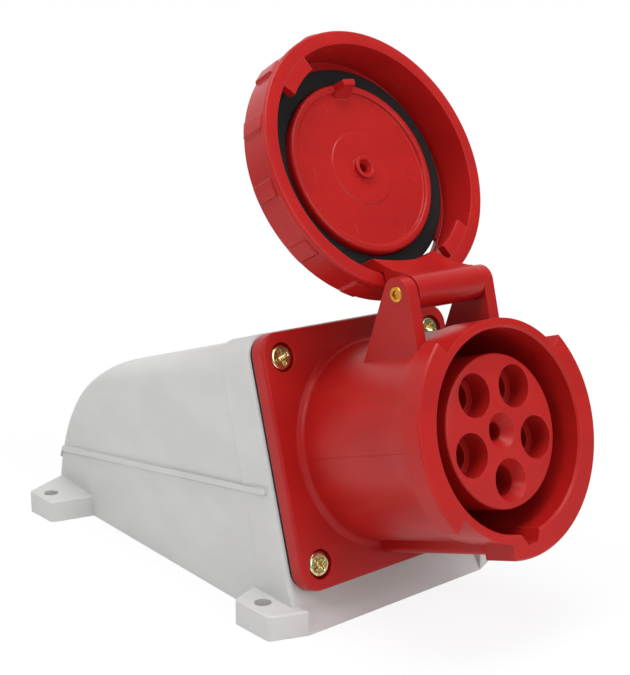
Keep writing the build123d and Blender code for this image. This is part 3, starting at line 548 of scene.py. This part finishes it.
turn = full_turn(96)
gasket_middle, gasket_level = (gasket_in + gasket_out) / 2, (gasket_near + gasket_far) / 2
section = np.stack([gasket_middle + (gasket_out - gasket_in) / 2 * signed_power(np.cos(turn), 0.3),
                    gasket_level + (gasket_far - gasket_near) / 2 * signed_power(np.sin(turn), 0.3)], 1)
track_depth, track_radius, track_half = 0.14, 37.4, 1.1
track = track_depth * np.exp(-((section[:, 0] - track_radius) / track_half) ** 4)
section[:, 1] += np.where(section[:, 1] < gasket_level, track, 0)
gasket = drawn_piece("lid_sealing_ring", lid, [grid_faces(revolved(section, full_turn(240)), True, True)], 40)
finish_piece(gasket, "lid", lid_rubber, "lid_gasket")

# %% [markdown]
# ## The lid's disc
# A dished red disc holds the gasket. The mould's six ejector pins have left round marks on it, and there
# are a fine step and a small boss with a funnelled screw hole in the middle. The front is one height over
# radius and angle: the profile gives the height, and each mark lowers it inside a small circle. The rows
# are 0.3 mm apart there, so the marks have clean edges.

# %% Disc
disc_back, disc_rim, disc_field, disc_step, disc_boss = 71.4, 66.4, 67.9, 67.55, 65.5
corners = [(1.9, disc_back), (33.8, disc_back), (33.8, disc_rim), (30.8, disc_rim), (30.3, disc_field),
           (14.4, disc_field), (14.0, disc_step), (4.5, disc_step), (4.5, disc_boss), (3.1, disc_boss),
           (1.9, disc_boss + 2.4)]
outline = rounded(corners, [0, 0.3, 1.4, 0.9, 0.7, 0.12, 0.2, 0.4, 0.45, 0.35, 0.2])
front = finer(outline[1:], 0.3)
grid = revolved(np.vstack([outline[:1], front]), full_turn(480))
pin_marks = np.array([(-11.5, -23.4), (11.0, -22.8), (-26.0, 1.0), (25.4, 3.1), (-14.0, 23.2), (10.0, 24.4)])
pin_radius, pin_depth = 2.7, 0.11
away = np.linalg.norm(grid[:, :, None, :2] - pin_marks, axis=-1).min(-1)
on_field = ease((grid[..., 2] - (disc_field - 0.05)) / 0.02) * ease((disc_field + 0.3 - grid[..., 2]) / 0.1)
grid[..., 2] += pin_depth * ease((pin_radius - away) / 0.45 + 0.5) * on_field
print("marks lower the field by", float(pin_depth), "mm at", len(pin_marks), "places")

# %% [markdown]
# The tongue at the disc's edge finds the keyway when the lid is shut. Its section is a rounded rectangle
# that narrows towards the tip and leans back along a gusset, so it is a stack of such sections, closed over
# its tip and down inside the disc.

# %% Tongue
tip, root = 61.0, 69.0
tip_rows = tip + np.array([0, 0, 0.12, 0.35, 0.7])
height = np.concatenate([tip_rows, np.linspace(tip + 1.4, root, 12), [root]])
shrink = np.array([0, 0.80, 0.92, 0.97, 0.995] + [1.0] * 12 + [0])
half = 3.0 + 1.2 * np.clip((height - tip) / 5.4, 0, 1) ** 2
inner = 31.0 - 3.0 * np.clip((height - tip) / 6.9, 0, 1) ** 1.4
middle, reach = (33.4 + inner) / 2, (33.4 - inner) / 2
turn = full_turn(48)
x = (half * shrink)[:, None] * signed_power(np.cos(turn), 0.28)
y = -middle[:, None] + (reach * shrink)[:, None] * signed_power(np.sin(turn), 0.28)
tongue = np.stack([x, y, np.broadcast_to(height[:, None], x.shape)], -1)
disc_surfaces = [grid_faces(grid, True, True), grid_faces(tongue, False, True)]
disc = drawn_piece("disc_and_tongue", lid, disc_surfaces, 34)
finish_piece(disc, "lid", red_lid_polyamide, "lid_disc")

# %% [markdown]
# ## The locking ring
# The ring is turned by hand, so its rim carries thirteen raised pads with soft flanks. One closed profile
# goes round the axis, and on the outer wall the radius grows by the pad's height where both the angle and
# the depth are inside a pad. Behind each bayonet tab the back flange has a window, where the mould's core
# stood: the faces there are left out and four narrow walls close the opening.

# %% Ring
lip, lip_end, wall_end, back = 57.5, 59.8, 71.2, 76.4
ring_radius, wall_radius, pad_height = 51.5, 51.0, 1.2
window_in, window_out, flange_face = 41.6, 45.4, 74.2
tab_from = np.radians([41.0, -140.0])
tab_sweep, spare = math.radians(21.0), math.radians(0.5)
openings = [(start - spare, start + tab_sweep + spare) for start in tab_from]
around = np.sort(np.concatenate([np.linspace(-np.pi, np.pi, 1300, endpoint=False), np.ravel(openings)]))
wall_rows = [(wall_radius, z) for z in np.linspace(lip_end + 0.1, wall_end - 0.4, 22)]
edges = ([(46.0, lip), (ring_radius, lip), (ring_radius, lip_end), (wall_radius, lip_end)] + wall_rows
         + [(wall_radius, wall_end), (46.5, back), (window_out, back), (window_in, back), (36.6, back),
            (36.6, flange_face), (window_in, flange_face), (window_out, flange_face), (46.0, flange_face)])
profile = rounded(edges, [0.15, 0.9, 0.3, 0] + [0] * len(wall_rows) + [0, 1.0, 0, 0, 0.4, 0.4, 0, 0, 0.3], 5)
pads = 2 * np.pi / 13
from_pad = np.abs((around - math.radians(-132.2) + pads / 2) % pads - pads / 2)
along = ease((profile[:, 1] - lip_end) / 0.35) * ease((71.0 - profile[:, 1]) / 1.1)
along[profile[:, 0] < 50.9] = 0
flank = ease((math.radians(4.15) - from_pad) / math.radians(0.9))
ring_grid = revolved(profile, around)
radius = profile[:, 0] + pad_height * flank[:, None] * along
ring_grid[..., 0], ring_grid[..., 1] = np.cos(around)[:, None] * radius, np.sin(around)[:, None] * radius

# %% Windows and tabs of the ring
points, quads = grid_faces(ring_grid, True, True)
column = {key: int(np.argmin(np.abs(profile - key).sum(1))) for key in
          [(window_out, back), (window_in, back), (window_in, flange_face), (window_out, flange_face)]}
top_out, top_in, low_in, low_out = column.values()
rows, columns = ring_grid.shape[:2]
row_of, column_of = np.divmod(np.arange(rows * columns), columns)
between = np.zeros(rows, bool)
walls = []
for start, end in openings:
    inside = (around >= start - 1e-9) & (around < end - 1e-9)
    between |= inside
    run = np.flatnonzero(inside)
    run = np.append(run, run[-1] + 1) * columns
    for a, b in ((top_out, low_out), (top_in, low_in)):
        walls.append(np.stack([run[:-1] + a, run[1:] + a, run[1:] + b, run[:-1] + b], 1))
    for end_row in (run[0], run[-1]):
        walls.append(np.array([[end_row + top_out, end_row + top_in, end_row + low_in, end_row + low_out]]))
flange_span = np.isin(column_of, (top_out, low_in))
quads = np.vstack([quads[~(between[row_of] & flange_span)]] + walls)


def bar(section, angles):
    """A closed (radius, height) section swept through the angles, its two ends closed at their middle."""
    body = revolved(section, angles)
    caps = revolved(np.repeat(section.mean(0)[None], len(section), 0), angles[[0, -1]])
    return grid_faces(np.concatenate([caps[:1], body, caps[1:]]), False, True)


tab = rounded([(40.75, lip), (46.3, lip), (46.3, lip + 3.4), (40.75, lip + 3.4)], [0.3, 0, 0, 0.3], 4)
tabs = [bar(tab, np.linspace(start, start + tab_sweep, 40)) for start in tab_from]
ring = drawn_piece("grip_ring", lid, [(points, quads)] + tabs, 34)
finish_piece(ring, "ring", red_lid_polyamide, "locking_ring")

# %% [markdown]
# ## Screws
# Four pan-head screws hold the flange, one holds the disc in the cap and four small ones hold the insert
# from behind. A head is a height over its round face: flat, rounded towards its edge, and lowered where the
# driver's cross lies. The cross is two crossed bars whose walls slope a little, and it gets shallower
# away from the middle, as the driver's tip asks.

# %% Screws
def cross_screw(head, tall, shank, length, cross, width, depth, twist=0.0):
    """Head radius and height, shank radius and length, and a cross of given size, drawn about z."""
    bevel = tall * 0.6
    top = np.linspace(0, head, 46)
    over = np.clip((top - (head - bevel)) / bevel, 0, 1)
    rim = np.stack([top, tall - bevel * (1 - np.sqrt(1 - over ** 2))], 1)
    under = np.array([(head, 0.15), (head - 0.15, 0), (shank, 0), (shank, -length + 1.5),
                      (shank * 0.5, -length), (0, -length)])
    profile = np.vstack([rim, under])
    points = revolved(profile, full_turn(144) + math.radians(twist))
    a, b = revolved(profile, full_turn(144))[..., 0], revolved(profile, full_turn(144))[..., 1]

    def slot(u, v):
        """One bar of the cross: 1 inside, 0 outside, easing over the sloped walls."""
        return ease((width / 2 - np.abs(v)) / 0.3 + 0.5) * ease((cross / 2 - np.abs(u)) / 0.5 + 0.5)

    sunk = np.maximum(slot(a, b), slot(b, a)) * depth * (1 - 0.45 * np.hypot(a, b) / (cross / 2))
    on_top = np.arange(len(profile)) < len(rim)
    points[..., 2] -= np.where(on_top, np.maximum(sunk, 0), 0)
    return grid_faces(points, True, False)


def spot(x, y, z):
    """4x4 matrix that moves a surface."""
    m = np.eye(4)
    m[:3, 3] = (x, y, z)
    return m


hole_x, hole_y, head_seat, cap_seat, insert_rear = 39.0, 38.6, -3.0, 79.0, -10.2
twists = {(-hole_x, hole_y): 20, (hole_x, hole_y): 64, (-hole_x, -hole_y): 33, (hole_x, -hole_y): 8}
heads = [moved(cross_screw(5.0, 2.4, 2.0, 20.0, 5.9, 1.3, 2.2, twist), spot(x, y, head_seat))
         for (x, y), twist in twists.items()]
corner_screws = drawn_piece("corner_screws", barrel, heads, 38)
finish_piece(corner_screws, "socket", yellow_zinc, "flange_screws")
cap_screw = moved(cross_screw(3.4, 2.0, 1.85, 8.4, 3.9, 0.95, 1.3, 15), spot(0, 0, cap_seat))
finish_piece(drawn_piece("cap_screw", lid, [cap_screw], 38), "lid", bright_zinc, "lid_screw")
turn_over = np.diag([1.0, -1.0, -1.0, 1.0])
corner = 38.4 * math.sqrt(0.5)
rears = [moved(cross_screw(2.7, 2.0, 1.5, 8.0, 3.0, 0.8, 1.1, 25 + x), spot(x, y, insert_rear) @ turn_over)
         for x in (-corner, corner) for y in (-corner, corner)]
rear_screws = drawn_piece("rear_screws", barrel, rears, 38)
finish_piece(rear_screws, "socket", bright_zinc, "insert_screws")

# %% [markdown]
# ## Hinge pin and gland nut
# Both are turned about an axis. The pin has bevelled ends with a drilled dimple. The nut's rim is ribbed so
# that fingers can tighten it: its radius grows with a power of a cosine, which makes narrow valleys
# between round ribs, and the ribs fade out at both ends.

# %% Hinge pin
half_profile = rounded([(0, 0), (2.9, 0), (2.9, 22.4), (1.5, 22.4), (1.3, 21.3), (0, 20.9)],
                       [0, 0, 0.5, 0.15, 0.15, 0])[1:]
mirrored = np.vstack([half_profile[::-1], half_profile[1:] * (1, -1)])
sideways = np.array([[0, 0, 1, 0], [1, 0, 0, 0], [0, 1, 0, 0], [0, 0, 0, 1]], float)
sideways[:3, 3] = hinge_point
pin = drawn_piece("pin", sideways, [grid_faces(revolved(mirrored, full_turn(96)), True, False)], 32)
finish_piece(pin, "socket", pin_brass, "hinge_pin")

# %% Gland nut
nut_frame = drawing_frame((0, 98.0, 27.5), np.array([0.0, 1.0, 0.0]))
nut_tall, nut_mouth, nut_thread, rib_root, rib_height, ribs = 9.5, 14.6, 20.0, 22.2, 0.8, 24
nut_outline = rounded([(nut_thread, 0), (rib_root, 0), (rib_root, nut_tall), (nut_mouth, nut_tall),
                       (nut_mouth, 7.5), (nut_thread, 7.5)], [0.2, 0.5, 1.0, 0.4, 0.3, 0.2])
nut_profile = finer(np.vstack([nut_outline, nut_outline[:1]]), 0.5)[:-1]
nut_turn = full_turn(480)
rib = (0.5 + 0.5 * np.cos(ribs * nut_turn)) ** 0.5
rise = ease(nut_profile[:, 1] / 1.2) * ease((nut_tall - nut_profile[:, 1]) / 2.2)
rise = np.where(nut_profile[:, 0] > rib_root - 0.6, rise, 0)
nut_radius = nut_profile[:, 0] + rib_height * rib[:, None] * rise
nut_grid = revolved(nut_profile, nut_turn)
nut_grid[..., 0] = np.cos(nut_turn)[:, None] * nut_radius
nut_grid[..., 1] = np.sin(nut_turn)[:, None] * nut_radius
nut = drawn_piece("gland_cap_nut", nut_frame, [grid_faces(nut_grid, True, True)], 32)
finish_piece(nut, "socket", grey_nut_plastic, "gland_nut")

# %% [markdown]
# ## Parting lines
# The two halves of the mould meet along the barrel's sides, and a hair of plastic is left there. It is a
# thin bead: a small circle carried along the barrel's side, half sunk in it.

# %% Parting lines of the barrel
run = np.concatenate([np.linspace(3.2, 49.0, 40), np.linspace(49.5, 52.0, 6), np.linspace(53.0, 61.4, 8)])
side_radius = 38.2 + 0.9 * np.clip((run - 49.0) / 3.0, 0, 1)
bead = 0.16 * np.concatenate([[0], np.ones(len(run) - 2), [0]])
turn = full_turn(12)
beads = []
for side in (-1, 1):
    out = side * (side_radius[:, None] + bead[:, None] * np.cos(turn) * 0.9)
    beads.append(np.stack([out, bead[:, None] * np.sin(turn), np.broadcast_to(run[:, None], out.shape)], -1))
line = drawn_piece("barrel_parting_lines", barrel, [grid_faces(points, False, True) for points in beads], 60)
finish_piece(line, "socket", red_polyamide)

# %% [markdown]
# ## Floor and light
# The socket lies on its wall face on a white table. The floor is a matt white sheet; to the camera it also
# glows a little, more so away from the object, so the picture's ground stays white while a soft shadow is
# left under the box. The sky is brighter overhead and behind the socket, where the studio's white
# backdrop hangs, than in front, where the room is dark; this is what the glossy plastic mirrors at a glance.
# A wide lamp hangs above, a weaker one stands in front, and a small one at the left draws the highlights
# along the barrel.

# %% Floor
floor_mesh = bpy.data.meshes.new("floor")
edge = 6.0
floor_mesh.from_pydata([(-edge, -edge, 0), (edge, -edge, 0), (edge, edge, 0), (-edge, edge, 0)], [],
                       [(0, 1, 2, 3)])
floor = bpy.data.objects.new("floor", floor_mesh)
bpy.context.scene.collection.objects.link(floor)
white_table, tree, out = blank("matt_white_table")
table_place = put(tree, "ShaderNodeTexCoord").outputs["Object"]
paper = put(tree, "ShaderNodeTexNoise", Vector=table_place, Scale=1 / (3 * mm), Detail=2.0)
matt = put(tree, "ShaderNodeBsdfDiffuse", Roughness=0.6,
           Color=ramp(tree, paper.outputs["Fac"], [(0.4, linear("#f4f4f4")), (0.6, linear("#f7f7f7"))]))
glow = put(tree, "ShaderNodeEmission", Color=(1, 1, 1, 1), Strength=1.0)
far_off = put(tree, "ShaderNodeVectorMath", {"operation": "LENGTH"}, _0=table_place).outputs["Value"]
glowing = put(tree, "ShaderNodeMapRange", Value=far_off, From_Min=0.16, From_Max=0.42, To_Min=0.84,
              To_Max=1.0).outputs["Result"]
rays = put(tree, "ShaderNodeLightPath")
shown = put(tree, "ShaderNodeMath", {"operation": "MULTIPLY"}, _0=rays.outputs["Is Camera Ray"], _1=glowing)
mixed = put(tree, "ShaderNodeMixShader", Fac=shown.outputs["Value"], _1=matt.outputs["BSDF"],
            _2=glow.outputs["Emission"])
tree.links.new(mixed.outputs["Shader"], out.inputs["Surface"])
floor_mesh.materials.append(white_table)

# %% Sky and lamps
world = bpy.data.worlds.new("studio")
bpy.context.scene.world = world
world.use_nodes = True
tree = world.node_tree
tree.nodes.clear()
rays = put(tree, "ShaderNodeLightPath")
looking = put(tree, "ShaderNodeTexCoord").outputs["Generated"]
backward = put(tree, "ShaderNodeVectorMath", {"operation": "DOT_PRODUCT"}, _0=looking,
               _1=(0.0, 0.8, 0.6)).outputs["Value"]
lit = put(tree, "ShaderNodeMapRange", Value=backward, From_Min=-0.7, From_Max=0.8, To_Min=0.34,
          To_Max=0.60).outputs["Result"]
seen_in_gloss = put(tree, "ShaderNodeMapRange", Value=backward, From_Min=-0.2, From_Max=0.7, To_Min=0.12,
                    To_Max=1.0).outputs["Result"]
either = put(tree, "ShaderNodeMix", {"data_type": "FLOAT"}, _0=rays.outputs["Is Glossy Ray"], _2=lit,
             _3=seen_in_gloss).outputs[0]
clear = put(tree, "ShaderNodeMath", {"operation": "MAXIMUM"}, _0=rays.outputs["Is Camera Ray"],
            _1=rays.outputs["Is Transmission Ray"]).outputs["Value"]
level = put(tree, "ShaderNodeMath", {"operation": "MAXIMUM"}, _0=either, _1=clear).outputs["Value"]
sky = put(tree, "ShaderNodeBackground", Color=(1, 1, 1, 1), Strength=level)
put(tree, "ShaderNodeOutputWorld", Surface=sky.outputs["Background"])


def soft_box(name, place, target, size, power):
    """Square area lamp of size metres at place, turned so that it faces the target."""
    lamp = bpy.data.lights.new(name, "AREA")
    lamp.size = size
    lamp.energy = power
    box = bpy.data.objects.new(name, lamp)
    box.location = place
    box.rotation_euler = (Vector(target) - Vector(place)).to_track_quat("-Z", "Y").to_euler()
    bpy.context.scene.collection.objects.link(box)
    return box


soft_box("front_lamp", (0.15, -1.15, 0.6), (0, -0.05, 0.1), 0.8, 5.0)
soft_box("top_lamp", (-0.1, -0.25, 1.2), (0, -0.05, 0.1), 0.7, 7.5)
soft_box("left_lamp", (-0.75, -0.2, 0.7), (0, -0.1, 0.1), 0.25, 1.8)
